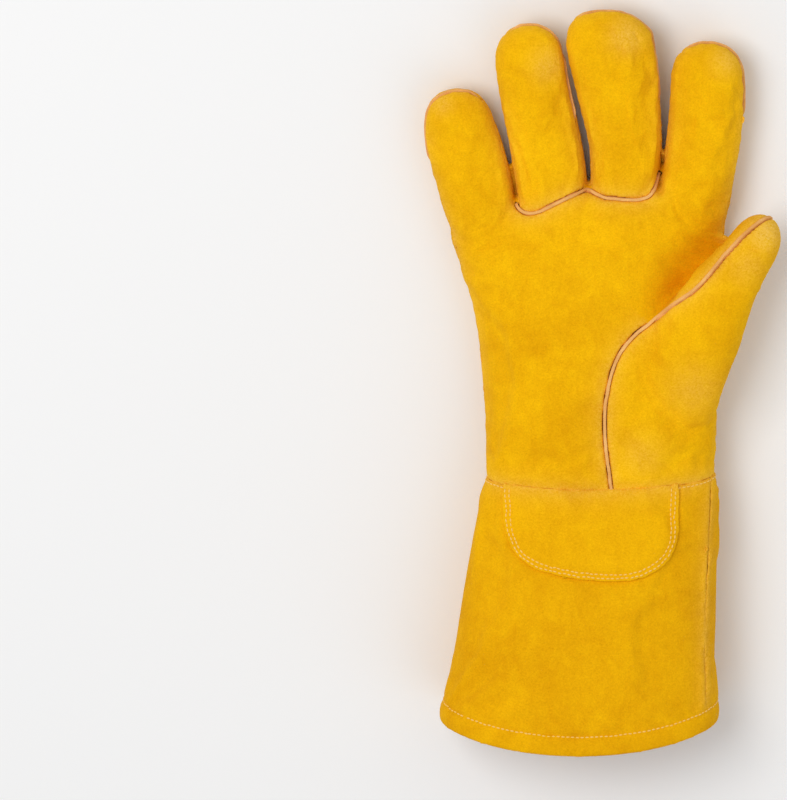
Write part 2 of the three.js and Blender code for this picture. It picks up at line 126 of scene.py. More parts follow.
def smooth_curve(rows):
    """Many rows of numbers on a smooth curve through the given ones."""
    rows = np.array(rows, float)
    ends = np.vstack([2 * rows[0] - rows[1], rows, 2 * rows[-1] - rows[-2]])
    curve = []
    for before, start, end, after in zip(ends, ends[1:], ends[2:], ends[3:]):
        for t in np.arange(ROW_STEPS) / ROW_STEPS:
            bend = 3 * (start - end) + after - before
            ease = 2 * before - 5 * start + 4 * end - after
            curve.append(start + 0.5 * t * (end - before + t * (ease + t * bend)))
    return np.array(curve + [rows[-1]])


def distances_along(path):
    return np.concatenate([[0], np.linalg.norm(np.diff(path, axis=0), axis=1).cumsum()])


def at_distance(distance, along, rows):
    """The numbers of a path's rows at a distance along it."""
    return [np.interp(distance, along, column) for column in rows.T]


def oval_ring(form, middle, across, up):
    """A squarish oval of edges round a middle, pressed flat where it would sink into the floor."""
    ring = bmesh.ops.create_circle(form, segments=OVAL_SIDES, radius=1)["verts"]
    for v in ring:
        x, y = (abs(c) ** (2 / SQUARENESS) * (1 if c > 0 else -1) for c in v.co.xy)
        v.co = middle + across * x + up * y
        v.co.z = max(v.co.z, 0)
    return ring


def once_each(things):
    """The things without repeats, in the order that they came."""
    return list(dict.fromkeys(things))


def close_tube(form, rings):
    """Bridges a row of rings into a tube and closes its two ends."""
    loops = [once_each(e for v in ring for e in v.link_edges) for ring in rings]
    for near, far in zip(loops, loops[1:]):
        bmesh.ops.bridge_loops(form, edges=near + far)
    for loop in (loops[0], loops[-1]):
        bmesh.ops.edgeloop_fill(form, edges=loop)


def body_tube(form):
    """The hand and the cuff."""
    rings = []
    for y, left, right, top, under, lean in smooth_curve(BODY):
        x = (left + right) / 2
        half = (right - left) / 2
        middle = Vector((x, y + lean * x, (top + under) / 2))
        across = Vector((half, lean * half, 0))
        rings.append(oval_ring(form, middle, across, Vector((0, 0, (top - under) / 2))))
    close_tube(form, rings)


MiddleLine = namedtuple("MiddleLine", "places ahead across up halves along")


def digit_line(digit):
    """A digit's middle line: its places, directions, half sizes and distances along."""
    rows = smooth_curve(digit.joints)
    places = rows[:, [1, 0, 2]]
    ahead = np.gradient(places, axis=0)
    ahead /= np.linalg.norm(ahead, axis=1, keepdims=True)
    across = np.stack([ahead[:, 1], -ahead[:, 0], 0 * ahead[:, 0]], axis=1)
    across /= np.linalg.norm(across, axis=1, keepdims=True)
    up = np.cross(across, ahead)
    return MiddleLine(places, ahead, across, up, rows[:, 3:5], distances_along(places))


def digit_tube(form, digit):
    """A finger or thumb with a blunt round end."""
    line = digit_line(digit)
    straight = line.along[-1] - digit.tip
    round_end = digit.tip * np.sin(np.linspace(0, pi / 2, TIP_RINGS, endpoint=False))
    stations = [*np.arange(0, straight, RING_PITCH), *(straight + round_end)]
    rings = []
    for station in stations:
        at, side, height, half = (
            at_distance(station, line.along, rows)
            for rows in (line.places, line.across, line.up, line.halves)
        )
        from_end = min((line.along[-1] - station) / digit.tip, 1)
        rounding = (1 - (1 - from_end) ** TIP_BLUNTNESS) ** 0.5
        across = Vector(side) * half[0] * rounding
        rings.append(oval_ring(form, Vector(at), across, Vector(height) * half[1] * rounding))
    close_tube(form, rings)


def new_mesh(name, form):
    mesh = bpy.data.meshes.new(name)
    form.to_mesh(mesh)
    return mesh


def new_object(name, data):
    """Makes an object of a mesh, a lamp or a camera and puts it in the scene."""
    made = bpy.data.objects.new(name, data)
    bpy.context.scene.collection.objects.link(made)
    return made


def add_modifier(piece, kind, **settings):
    modifier = piece.modifiers.new(kind, kind)
    for name, value in settings.items():
        setattr(modifier, name, value)


def through_modifiers(form, **steps):
    """Puts a bmesh through modifiers, each given as its type and its settings."""
    mesh = new_mesh("in_work", form)
    piece = new_object("in_work", mesh)
    for kind, settings in steps.items():
        add_modifier(piece, kind, **settings)
    graph = bpy.context.evaluated_depsgraph_get()
    result = bpy.data.meshes.new_from_object(piece.evaluated_get(graph))
    form.clear()
    form.from_mesh(result)
    bpy.data.objects.remove(piece)
    bpy.data.meshes.remove(mesh)
    bpy.data.meshes.remove(result)


def spread(y):
    """How much wider the form is made at a distance from the hem."""
    ramp = min(max((y - SPREAD_FROM) / (SPREAD_TO - SPREAD_FROM), 0), 1)
    return 1 + (SPREAD - 1) * ramp**2 * (3 - 2 * ramp)


skin = bmesh.new()
body_tube(skin)
for digit in [*FINGERS, THUMB]:
    digit_tube(skin, digit)
bmesh.ops.recalc_face_normals(skin, faces=skin.faces)
for v in skin.verts:
    v.co.x *= spread(v.co.y)
through_modifiers(
    skin,
    REMESH={"mode": "VOXEL", "voxel_size": GRAIN_SIZE},
    SMOOTH={"factor": 0.5, "iterations": 4},
)
for v in skin.verts:
    v.co.x /= spread(v.co.y)
for name in ("drawn", "spot", "outward"):
    skin.verts.layers.float_vector.new(name)
# The place on the pattern, the place in the skin while a seam is cut, and the way the welts stand
drawn, spot, outward = skin.verts.layers.float_vector.values()
seam = skin.edges.layers.int.new("seam")
panel_layer = skin.faces.layers.int.new("panel")
for v in skin.verts:
    v[drawn] = v.co


# Seams
# The panels are sewn face to face and turned right side out. Each seam is drawn on the pattern as
# the place where a field is zero: the skin is cut there, and the cut edges keep the seam's name.

WRIST_Y = 125
WRIST_CURVE = 4
HEM_CURVE = 9.4
HEM_LINE = 1.4
GUSSET_DEPTH = 11
GUSSET_END = 4
GUSSETS_FROM = 245
FINGERS_FROM = 240
THUMB_BELOW = 275
FRONT_SEAM = [  # distance from the hem, height
    (-20, 24), (130, 22), (200, 21), (262, 20), (290, 18.6), (318, 18), (338, 19), (380, 22),
]
ROOT_SEAM = [
    (-36.6, 266), (-35.2, 260), (-31, 257.6), (-25.5, 258.1), (-17.5, 262.2), (-9.6, 265.8),
    (-1.6, 267.7), (6.4, 265.5), (15.9, 264.7), (24, 264.7), (29.5, 267.5), (33.2, 276),
]
LITTLE_RING_GAP = [(-36.6, 240), (-36.4, 262), (-39.8, 282), (-45, 305), (-47, 380)]
RING_MIDDLE_GAP = [
    (-1, 240), (-1.4, 267), (-3.2, 290), (-8.8, 318), (-10.6, 330), (-11.4, 336), (-14, 380),
]
MIDDLE_INDEX_GAP = [(33, 240), (33.6, 272), (35.4, 295), (35.8, 320), (35, 380)]
THUMB_SEAM = [
    (10.8, 110), (9.4, 130), (6.9, 150), (7.2, 170), (12, 189), (20, 200.4), (30.4, 208), (42, 214),
]
WING_END = (90, 218)
THUMB_SEAM_OFFSET = [24, 24, 21.8, 8, 6.2, 0.5]  # from the thumb's middle line, at each of its joints
THUMB_SEAM_SLOPE = 0.46
THUMB_ROOM = 1.6  # round the thumb's form to the seam where it joins the palm
CUFF_SEAM = [(56.4, -10), (55.2, 55), (58.4, 140)]
PATCH_EDGE = [
    (-41, 140), (-41, 117), (-39.2, 103.2), (-33.5, 93.8), (-21.5, 87.9), (0, 84.2), (19.1, 84.2),
    (31, 88.6), (38.2, 95.8), (41.1, 107.6), (41.6, 140),
]

SEAM_NAMES = [
    "none", "hem", "wrist", "closing", "patch", "front", "thumb", "thumb_root", "gusset",
    "finger_roots", "fork",
]
GAPS = [smooth_curve(gap) for gap in (LITTLE_RING_GAP, RING_MIDDLE_GAP, MIDDLE_INDEX_GAP)]
front_height = smooth_curve(FRONT_SEAM)
thumb_line = digit_line(THUMB)
thumb_seam_offset = smooth_curve([[offset] for offset in THUMB_SEAM_OFFSET])[:, 0]
wing_line = np.vstack([smooth_curve(THUMB_SEAM), WING_END])
middle_fronts_line = np.vstack([
    LITTLE_RING_GAP[:1:-1], smooth_curve(ROOT_SEAM), MIDDLE_INDEX_GAP[2:],
])
patch_line = smooth_curve(PATCH_EDGE)
closing_line = smooth_curve(CUFF_SEAM)


def left_of(points, line):
    """How far each point lies to the left of a plan line, and below zero to its right."""
    start, step = line[:-1], np.diff(line, axis=0)
    offset = points[:, None, :2] - start
    share = np.clip((offset * step).sum(2) / (step**2).sum(1), 0, 1)
    away = np.linalg.norm(offset - share[:, :, None] * step, axis=2)
    nearest = away.argmin(1)
    rows = np.arange(len(points))
    near_step, near_offset = step[nearest], offset[rows, nearest]
    side = near_step[:, 0] * near_offset[:, 1] - near_step[:, 1] * near_offset[:, 0]
    return np.sign(side) * away[rows, nearest]


def beyond(points, middle_y, rise):
    """How far each point lies beyond a line across the glove that rises at the sides."""
    hem = BODY[1]
    share = (points[:, 0] - (hem.left + hem.right) / 2) / ((hem.right - hem.left) / 2)
    return points[:, 1] - middle_y - rise * share**2


def past_hem(points):
    return beyond(points, HEM_LINE, HEM_CURVE)


def past_wrist(points):
    return beyond(points, WRIST_Y, WRIST_CURVE)


def above_front_seam(points):
    return points[:, 2] - np.interp(points[:, 1], *front_height.T)


def nearest_in_thumb(points):
    """The number of the place on the thumb's line nearest to each point."""
    return np.linalg.norm(points[:, None] - thumb_line.places, axis=2).argmin(1)


def in_thumb(points):
    """Each point's place in the thumb: the distance along its line, and how far across and up."""
    nearest = nearest_in_thumb(points)
    offset = points - thumb_line.places[nearest]
    ways = (thumb_line.ahead, thumb_line.across, thumb_line.up)
    along, side, height = ((offset * way[nearest]).sum(1) for way in ways)
    return thumb_line.along[nearest] + along, side, height


def off_thumb(points):
    """How far each point lies outside the thumb's form."""
    along, side, height = in_thumb(points)
    half_width, half_depth = at_distance(along, thumb_line.along, thumb_line.halves)
    reach = abs(side / half_width) ** SQUARENESS + abs(height / half_depth) ** SQUARENESS
    outside = (reach ** (1 / SQUARENESS) - 1) * half_depth - THUMB_ROOM
    return np.maximum(outside, -along)


def index_side_of_thumb(points):
    along, side, height = in_thumb(points)
    offset = np.interp(along, thumb_line.along, thumb_seam_offset)
    return -side - offset - THUMB_SEAM_SLOPE * height


def finger_number(points):
    """Which finger each point is on or nearest to, counted from the little finger."""
    return sum((left_of(points, gap) < 0).astype(int) for gap in GAPS)


def above_gusset(points):
    """How far each point lies above the gussets' back seam, which closes up with the front seam."""
    ends = [(f.joints[1].y, f.joints[-1].y - GUSSET_END) for f in FINGERS]
    root, end = np.array(ends)[finger_number(points)].T
    closing = np.clip((points[:, 1] - root) / (end - root), 0, 1) ** 3
    return above_front_seam(points) + GUSSET_DEPTH * (1 - closing) ** 0.5


def right_of_finger_middle(points):
    """How far each point lies to the right of the middle line of its finger."""
    finger = finger_number(points)
    from_middle = np.zeros(len(points))
    for i, digit in enumerate(FINGERS):
        y, x = smooth_curve(digit.joints)[:, :2].T
        here = finger == i
        from_middle[here] = points[here, 0] - np.interp(points[here, 1], y, x)
    return from_middle


def between_fingers(points):
    """Whether each point is on the side of a finger that faces another finger."""
    finger = finger_number(points)
    right = right_of_finger_middle(points) > 0
    facing = (right & (finger < 3)) | (~right & (finger > 0))
    return facing & (points[:, 1] > GUSSETS_FROM)


def is_welted(points, names):
    """Whether the seams of these names have a welt in them at these places on the pattern."""
    left, right = np.array([(f.welt_left, f.welt_right) for f in FINGERS])[finger_number(points)].T
    starts = np.where(right_of_finger_middle(points) > 0, right, left)
    at_tip = (names == "front") & (points[:, 1] > starts)
    return at_tip | np.isin(names, ("thumb", "finger_roots"))


def left_of_line(line):
    return lambda points: left_of(points, line)


def above(field):
    """A test of whether points lie where a field is above zero."""
    return lambda points: field(points) > 0


def below(field):
    return lambda points: field(points) < 0


def near(field):
    """A test of whether points lie near the line where a field is zero."""
    return lambda points: abs(field(points)) < REACH


off_wing = left_of_line(wing_line)
within_middle_fronts = left_of_line(middle_fronts_line)
left_of_fork = left_of_line(GAPS[1])
left_of_closing = left_of_line(closing_line)
inside_patch = left_of_line(patch_line)
in_cuff, in_hand = below(past_wrist), above(past_wrist)
in_back, in_front = below(above_front_seam), above(above_front_seam)
on_thumb, beside_thumb = below(off_thumb), above(off_thumb)
on_middle_fronts = above(within_middle_fronts)


def near_thumb(points):
    return (points[:, 0] > 0) & (points[:, 1] > WRIST_Y) & (points[:, 1] < THUMB_BELOW)


def on_fingers(points):
    return points[:, 1] > FINGERS_FROM


def drawn_places(form):
    """Where each vertex of a form was drawn on the pattern."""
    drawn = form.verts.layers.float_vector["drawn"]
    return np.array([v[drawn] for v in form.verts])


def drawn_middles(form):
    """Where the middle of each face of a form was drawn on the pattern."""
    drawn = form.verts.layers.float_vector["drawn"]
    return np.array([sum((v[drawn] for v in f.verts), Vector()) / len(f.verts) for f in form.faces])


def drawn_on_edges(edges):
    """Where the middles of edges of the skin were drawn on the pattern."""
    return np.array([(e.verts[0][drawn] + e.verts[1][drawn]) / 2 for e in edges])


def verts_of(geometry):
    return [g for g in geometry if isinstance(g, bmesh.types.BMVert)]


def edges_of(geometry):
    return [g for g in geometry if isinstance(g, bmesh.types.BMEdge)]


def seam_edges(form, name):
    """A form's edges that lie in the seam of this name."""
    seam = form.edges.layers.int["seam"]
    return [e for e in form.edges if SEAM_NAMES[e[seam]] == name]


def faces_where(*tests):
    """The skin's faces whose middles pass every test."""
    middles = drawn_middles(skin)
    keep = np.ones(len(middles), bool)
    for test in tests:
        keep[keep] &= test(middles[keep])
    return [f for f, kept in zip(skin.faces, keep) if kept]


def cut_seam(name, field, *tests):
    """Cuts the faces that pass the tests where a field is zero, and names the new edges."""
    faces = faces_where(*tests)
    verts = once_each(v for f in faces for v in f.verts)
    edges = once_each(e for f in faces for e in f.edges)
    for v, value in zip(verts, field(np.array([v[drawn] for v in verts]))):
        v[spot] = v.co
        v.co.z = value
    cut = bmesh.ops.bisect_plane(
        skin, geom=verts + edges + faces, dist=CUT_SNAP, plane_co=(0, 0, 0), plane_no=(0, 0, 1)
    )["geom_cut"]
    for v in verts + verts_of(cut):
        v.co = v[spot]
    for edge in edges_of(cut):
        if not edge[seam]:
            edge[seam] = SEAM_NAMES.index(name)


REACH = 4  # how far round a seam the skin's faces are looked at
CUT_SNAP = 0.25  # a vertex this near to a cut is taken as on it
IN_GAP = 0.6  # the seam of the finger roots is plain this near to the middle of a gap

cut_seam("hem", past_hem, near(past_hem))
bmesh.ops.delete(skin, geom=faces_where(below(past_hem)), context="FACES")
cut_seam("wrist", past_wrist, near(past_wrist))
cut_seam("closing", left_of_closing, in_cuff, in_front, near(left_of_closing))
cut_seam("patch", inside_patch, in_cuff, in_front, near(inside_patch))
cut_seam("thumb_root", off_thumb, near_thumb, in_hand, near(off_thumb))
cut_seam("thumb", index_side_of_thumb, near_thumb, in_hand, on_thumb)
cut_seam("front", above_front_seam, in_hand, near(above_front_seam), beside_thumb)
cut_seam("thumb", off_wing, near_thumb, in_hand, in_front, beside_thumb)
cut_seam("finger_roots", within_middle_fronts, on_fingers, in_front)
cut_seam("fork", left_of_fork, on_fingers, in_front, on_middle_fronts)
cut_seam("gusset", above_gusset, on_fingers, in_back, between_fingers)

roots = seam_edges(skin, "finger_roots")
middles = drawn_on_edges(roots)
for edge, *away in zip(roots, left_of(middles, GAPS[0]), left_of(middles, GAPS[2])):
    if min(map(abs, away)) < IN_GAP:
        edge[seam] = SEAM_NAMES.index("fork")

PANELS = [
    "cuff", "palm", "ring_front", "middle_front", "back", "thumb_outer", "thumb_inner",
    "gusset_little_ring", "gusset_ring_middle", "gusset_middle_index",
]


def panel_numbers(points):
    """The number in PANELS of the panel that each point belongs to."""
    thumb = near_thumb(points) & on_thumb(points)
    front = in_front(points)
    wing = near_thumb(points) & (off_wing(points) < 0)
    middle_two = on_fingers(points) & on_middle_fronts(points)
    gusset = between_fingers(points) & (above_gusset(points) > 0)
    nearest_gap = np.argmin([abs(left_of(points, gap)) for gap in GAPS], axis=0)
    tests = {
        "cuff": in_cuff(points),
        "thumb_inner": thumb & (index_side_of_thumb(points) > 0),
        "thumb_outer": thumb | (front & wing),
        "ring_front": front & middle_two & (left_of_fork(points) > 0),
        "middle_front": front & middle_two,
        "palm": front,
    }
    tests |= {name: gusset & (nearest_gap == gap) for gap, name in enumerate(PANELS[-3:])}
    numbers = [PANELS.index(name) for name in tests]
    return np.select(list(tests.values()), numbers, PANELS.index("back"))


def patches_of_panels():
    """Lists of the skin's faces that hang together and belong to one panel."""
    left = dict.fromkeys(skin.faces)
    patches = []
    while left:
        patch = [left.popitem()[0]]
        for face in patch:
            for beside in (f for e in face.edges for f in e.link_faces):
                if beside in left and beside[panel_layer] == face[panel_layer]:
                    del left[beside]
                    patch.append(beside)
        patches.append(patch)
    return patches


for face, number in zip(skin.faces, panel_numbers(drawn_middles(skin))):
    face[panel_layer] = number

SCRAP = 60  # faces: a smaller patch is left over from cutting, and joins the panel round it
CLOSING_EVENED = 3  # how many times the closing seam's small steps are smoothed

for scrap in patches_of_panels():
    if len(scrap) < SCRAP:
        panel = scrap[0][panel_layer]
        around = [f[panel_layer] for face in scrap for e in face.edges for f in e.link_faces]
        around = [number for number in around if number != panel]
        for face in scrap:
            face[panel_layer] = max(set(around), key=around.count)

closing = set(seam_edges(skin, "closing"))
for _ in range(CLOSING_EVENED):
    evened = []
    for v in skin.verts:
        beside = [e.other_vert(v) for e in v.link_edges if e in closing]
        if len(beside) == 2:
            evened.append((v, v.co.lerp((beside[0].co + beside[1].co) / 2, 0.5)))
    for v, place in evened:
        v.co = place


# Worn leather
# Worn leather is held at its seams and swells and buckles a little between them. A cloth
# simulation does that: the panels are too large for their seams and are blown up from inside.

SWELL_FRAMES = 14
PALM_SWELL = 2.4
OTHER_SWELL = 1.3
SPARE_LEATHER = 0.018
GAP_HOLD = 4  # how near to the middle of a gap the fingers touch
HEM_HEIGHT = 8
FINGERS_FIRM_FROM = 235
FINGERS_FIRM_RISE = 30
THUMB_FIRM_REACH = 15


def holds_still(form):
    """Which vertices the seams, the stiff hem and the touching fingers keep in place."""
    points = drawn_places(form)
    sewn = np.array([any(e[seam] for e in v.link_edges) for v in form.verts])
    near_gap = np.min([abs(left_of(points, gap)) for gap in GAPS], axis=0) < GAP_HOLD
    return sewn | (past_hem(points) < HEM_HEIGHT) | (near_gap & (points[:, 1] > GUSSETS_FROM))


def swell_cap(points):
    """How far the leather may move at each point: the wide palm moves most."""
    finger = np.clip((points[:, 1] - FINGERS_FIRM_FROM) / FINGERS_FIRM_RISE, 0, 1)
    thumb = 1 - np.clip(off_thumb(points) / THUMB_FIRM_REACH, 0, 1)
    firm = np.maximum(np.maximum(finger, thumb), in_cuff(points))
    return PALM_SWELL + (OTHER_SWELL - PALM_SWELL) * firm


def swollen(form):
    """Blows the skin up between its seams and gives back where its vertices end."""
    mesh = new_mesh("in_work", form)
    piece = new_object("in_work", mesh)
    held = piece.vertex_groups.new(name="held")
    held.add(np.flatnonzero(holds_still(form)).tolist(), 1, "REPLACE")
    cloth = piece.modifiers.new("Cloth", "CLOTH").settings
    cloth.vertex_group_mass = held.name
    cloth.quality = 4
    cloth.mass = 0.4
    cloth.tension_stiffness = cloth.compression_stiffness = 25
    cloth.shear_stiffness = 12
    cloth.bending_stiffness = 4
    cloth.shrink_min = cloth.shrink_max = -SPARE_LEATHER
    cloth.use_pressure = True
    cloth.uniform_pressure_force = 3
    cloth.effector_weights.gravity = 0
    for number in range(1, SWELL_FRAMES + 1):
        bpy.context.scene.frame_set(number)
    graph = bpy.context.evaluated_depsgraph_get()
    places = [v.co.copy() for v in piece.evaluated_get(graph).to_mesh().vertices]
    bpy.data.objects.remove(piece)
    bpy.data.meshes.remove(mesh)
    bpy.context.scene.frame_set(1)
    return places


bmesh.ops.translate(skin, verts=skin.verts, vec=-PATTERN_MIDDLE)
bmesh.ops.scale(skin, verts=skin.verts, vec=(MM, MM, MM))
skin.verts.index_update()
skin.normal_update()
caps = swell_cap(drawn_places(skin)) * MM
for v, place, cap in zip(skin.verts, swollen(skin), caps):
    step = place - v.co
    v.co += step * min(1, cap / max(step.length, 1e-9))
    v.co.z = max(v.co.z, 0)


# Folds
# The leather keeps the folds of use: the palm dives under the thumb, the gaps between the fingers
# run on as narrow clefts, and small creases lie round them.

Fold = namedtuple("Fold", "line width depth ridge reach_down")
FOLDS = [
    Fold([(-36, 263), (-37, 271), (-39, 281)], 1.3, 11, 0, 16),
    Fold([(-1.6, 269), (-1.4, 275), (-2.4, 284)], 1.2, 11, 0, 16),
    Fold([(32.4, 269), (33, 276), (34.4, 289)], 1.6, 11, 0, 16),
    Fold([(31, 206), (30.4, 197), (30, 188)], 2.4, 1.8, 0.5, 0),
    Fold([(38, 160), (46, 152), (54, 148)], 4, 0.5, 0.9, 0),
    Fold([(-6, 167), (0, 168), (5, 167.6)], 2.2, 0.7, 0.2, 0),
    Fold([(22, 245), (20.5, 236), (22, 226)], 4, 0.3, 0.5, 0),
]
THUMB_HOLLOW = 15
THUMB_TUCK = 6.5  # how far the palm is drawn in under the thumb's edge
HOLLOW_ON_PALM = 9  # how far the hollow reaches from the thumb's seam
HOLLOW_ON_THUMB = 3
HOLLOW_FROM = 207
HOLLOW_RISE = 16
PALM_HEIGHT = 32
RIDGE_OFFSET = 1.9  # fold widths from a fold's line to the ridge beside it
FRONT_FADE = 8  # over this height above the front seam the folds reach their full depth


def fold_depth(points, fold):
    """How deep a fold is at each point, and below zero on the ridge beside it."""
    line = smooth_curve(fold.line)
    away = left_of(points, line) / fold.width
    ridge = fold.ridge * np.exp(-((away + RIDGE_OFFSET) ** 2))
    depth = fold.depth * np.exp(-(away**2)) - ridge
    return depth * np.clip((above_front_seam(points) + fold.reach_down) / FRONT_FADE, 0, 1)


def nearest_of(places):
    """A tree that finds the places nearest to a point, by number."""
    tree = KDTree(len(places))
    for i, place in enumerate(places):
        tree.insert(place, i)
    tree.balance()
    return tree


def hollow_moves(points):
    """How each point moves in and down where the palm dives under the thumb, most at their seam."""
    sewn = nearest_of([v[drawn] for e in seam_edges(skin, "thumb_root") for v in e.verts])
    away = np.array([sewn.find(point)[2] for point in points])
    palm = np.exp(-((away / HOLLOW_ON_PALM) ** 1.3))
    thumb = np.exp(-((away / HOLLOW_ON_THUMB) ** 2))
    share = np.where(beside_thumb(points), palm, thumb)
    share *= np.clip((points[:, 1] - HOLLOW_FROM) / HOLLOW_RISE, 0, 1)
    tuck = THUMB_TUCK * share * np.clip(above_front_seam(points) / FRONT_FADE, 0, 1)
    dive = THUMB_HOLLOW * share * np.clip(points[:, 2] / PALM_HEIGHT, 0, 1)
    across = thumb_line.across[nearest_in_thumb(points)]
    return across * tuck[:, None] - np.outer(dive, (0, 0, 1))


points = drawn_places(skin)
folded = sum(fold_depth(points, fold) for fold in FOLDS)
skin.normal_update()
for v, fold, move in zip(skin.verts, folded, hollow_moves(points)):
    v.co += Vector(move) * MM
    v.co.z = max(v.co.z - max(v.normal.z, 0) * fold * MM, 0)


# Panels
# Each panel is a piece of the skin with its cut edges turned in at the seams, where the stitches
# pucker them. The leather's thickness goes inwards.

LEATHER = 1.6 * MM
SEAM_ROOM = -0.15 * MM  # from the middle of a seam to the leather's edge, pressed together there
WELT_ROOM = 0.65 * MM  # the same where a welt is sewn in
TURN = 2.6 * MM  # how far from its edge the leather is turned in
TURN_DEPTH = 1.5 * MM
PLAIN_TURN_DEPTH = 0.9 * MM
HEM_TOP = HEM_LINE + HEM_CURVE + HEM_HEIGHT  # where the closing seam ends, under the hem's stitches
CLOSING_CHOICES = 12  # rim vertices to choose from where the closing seam's two sides lie close
RIM_EVENED = 2  # the way in from a rim is evened over so many vertices to each side
EDGE_HIGHLIGHT_REACH = 3 * MM  # how far from a turned edge the painted highlight on its puffed ridge reaches
RAW_EDGES = ("hem", "patch")
CREASED_EDGES = ("thumb_root", "fork")  # where nothing is turned in or given the painted edge highlight
PUCKER_PITCH = 7 * MM
PUCKER = 0.22 * MM
PUCKER_REACH = 9 * MM
PUCKER_DRIFT = 15 * MM  # size of the patches in which the puckers drift
Rub = namedtuple("Rub", "x y reach strength")
RUBBED = [
    Rub(-72, 312, 6, 0.7), Rub(-20, 331, 8, 0.7), Rub(17, 345, 8, 0.9), Rub(65, 333, 7, 0.8),
    Rub(84, 254, 9, 1.5), Rub(74, 238, 9, 0.5), Rub(50, 176, 12, 0.5), Rub(24, 143, 10, 0.4),
]


def walk_along(edges, *start):
    """The vertices passed from a start to the end of a line of edges, which are used up."""
    walk = list(start)
    while True:
        step = next((e for e in walk[-1].link_edges if e in edges), None)
        if not step:
            return walk
        del edges[step]
        walk.append(step.other_vert(walk[-1]))


def rim_walks(form):
    """The rims of an open mesh, each a list of its vertices in order."""
    left = dict.fromkeys(e for e in form.edges if e.is_boundary)
    while left:
        edge = left.popitem()[0]
        yield walk_along(left, *edge.verts)


def middle_of_faces(v):
    return sum((f.calc_center_median() for f in v.link_faces), Vector()) / len(v.link_faces)


def turn_in_edges(form, choices):
    """Draws a panel's edges back from its seams, turns them in and puckers them.

    Each vertex follows the nearest rim vertex of so many choices that has it on its own side."""
    drawn = form.verts.layers.float_vector["drawn"]
    seam = form.edges.layers.int["seam"]
    form.normal_update()
    rim, rim_inwards, names, points = [], [], [], []
    for walk in rim_walks(form):
        inwards = []
        along = 0
        for v, following in zip(walk, walk[1:]):
            edges = [e for e in v.link_edges if e.is_boundary]
            names.append(SEAM_NAMES[max(e[seam] for e in edges)])
            points.append(v[drawn])
            run = (edges[0].other_vert(v).co - edges[-1].other_vert(v).co).normalized()
            inward = middle_of_faces(v) - v.co
            inwards.append((inward - inward.dot(run) * run).normalized())
            rim.append((v.co.copy(), along))
            along += (following.co - v.co).length
        for i in range(len(inwards)):
            around = inwards[max(i - RIM_EVENED, 0):i + RIM_EVENED + 1]
            rim_inwards.append(sum(around, Vector()).normalized())
    tree = nearest_of([place for place, _ in rim])
    welted = is_welted(np.array(points), np.array(names))
    sewn = ~np.isin(names, RAW_EDGES)
    turned_in = sewn & ~np.isin(names, CREASED_EDGES)
    rooms = np.where(welted, WELT_ROOM, SEAM_ROOM) * sewn
    depths = np.where(welted, TURN_DEPTH, PLAIN_TURN_DEPTH) * turned_in
    moves = []
    edge = form.verts.layers.float["edge"]
    for v in form.verts:
        beside = middle_of_faces(v)
        hits = tree.find_n(v.co, choices)
        own_side = [hit for hit in hits if rim_inwards[hit[1]].dot(beside - rim[hit[1]][0]) > 0]
        _, i, away = (own_side or hits)[0]
        inward, along = rim_inwards[i], rim[i][1]
        room, full_depth = rooms[i], depths[i]
        # Painted highlight: the puffed ridge beside a turned-in edge is painted paler, fading away
        # from the edge
        v[edge] = np.exp(-away / EDGE_HIGHLIGHT_REACH) * turned_in[i]
        if away > PUCKER_REACH or not room:
            continue
        turned = max(1 - away / TURN, 0)
        depth = full_depth * (1 - (1 - turned**2) ** 0.5)
        fade = (1 - away / PUCKER_REACH) ** 2
        drift = 2 * noise.noise(v.co / PUCKER_DRIFT)
        wave = np.sin(2 * pi * along / PUCKER_PITCH + drift)
        depth += PUCKER * fade * (1 - turned) * wave * turned_in[i]
        moves.append((v, inward * room * fade - v.normal * depth))
    for v, move in moves:
        v.co += move


def rubbed_pale(points):
    """How far use has rubbed the dye off at each point, mostly at the fingertips."""
    worn = []
    for rub in RUBBED:
        away = np.linalg.norm(points[:, :2] - (rub.x, rub.y), axis=1)
        worn.append(rub.strength * np.exp(-((away / rub.reach) ** 2)))
    return np.max(worn, axis=0) * in_front(points)


# Tones are matched panel by panel. The back is darker because its visible parts are the glove's
# shaded sides, so that is painted shade. The thumb's outer panel is brighter against the shade on its
# slope, so that is painted light.
PANEL_TONES_AND_PAINTED_LIGHT = {  # brighter above 0
    "middle_front": 0.12, "ring_front": 0.1, "thumb_outer": 0.15, "thumb_inner": -0.1, "back": -0.15,
}


def panel_form(name):
    """The part of the skin that is one panel, with finer quads and its edges turned in."""
    form = skin.copy()
    layer = form.faces.layers.int["panel"]
    others = [f for f in form.faces if f[layer] != PANELS.index(name)]
    bmesh.ops.delete(form, geom=others, context="FACES")
    drawn = form.verts.layers.float_vector["drawn"]
    closing = seam_edges(form, "closing")
    closing = [e for e in closing if min(v[drawn].y for v in e.verts) > HEM_TOP]
    bmesh.ops.split_edges(form, edges=closing)
    form.verts.layers.float.new("edge")
    through_modifiers(form, SUBSURF={"levels": 1})
    turn_in_edges(form, CLOSING_CHOICES if closing else 1)
    tone = form.verts.layers.float.new("tone")
    edge = form.verts.layers.float["edge"]
    # The edge attribute holds the painted highlight along turned edges and, where larger, the rubbed
    # wear of use
    for v, pale in zip(form.verts, rubbed_pale(drawn_places(form))):
        v[tone] = PANEL_TONES_AND_PAINTED_LIGHT.get(name, 0)
        v[edge] = max(v[edge], pale)
    return form


def finished(name, form, material, slot, *nodes):
    """Makes a bmesh a piece of the glove, which stands for its CAD nodes."""
    for face in form.faces:
        face.smooth = True
    mesh = new_mesh(name, form)
    form.free()
    mesh.materials.append(material)
    piece = new_object(name, mesh)
    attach(piece, "root")
    if nodes:
        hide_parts(*nodes)
    return piece


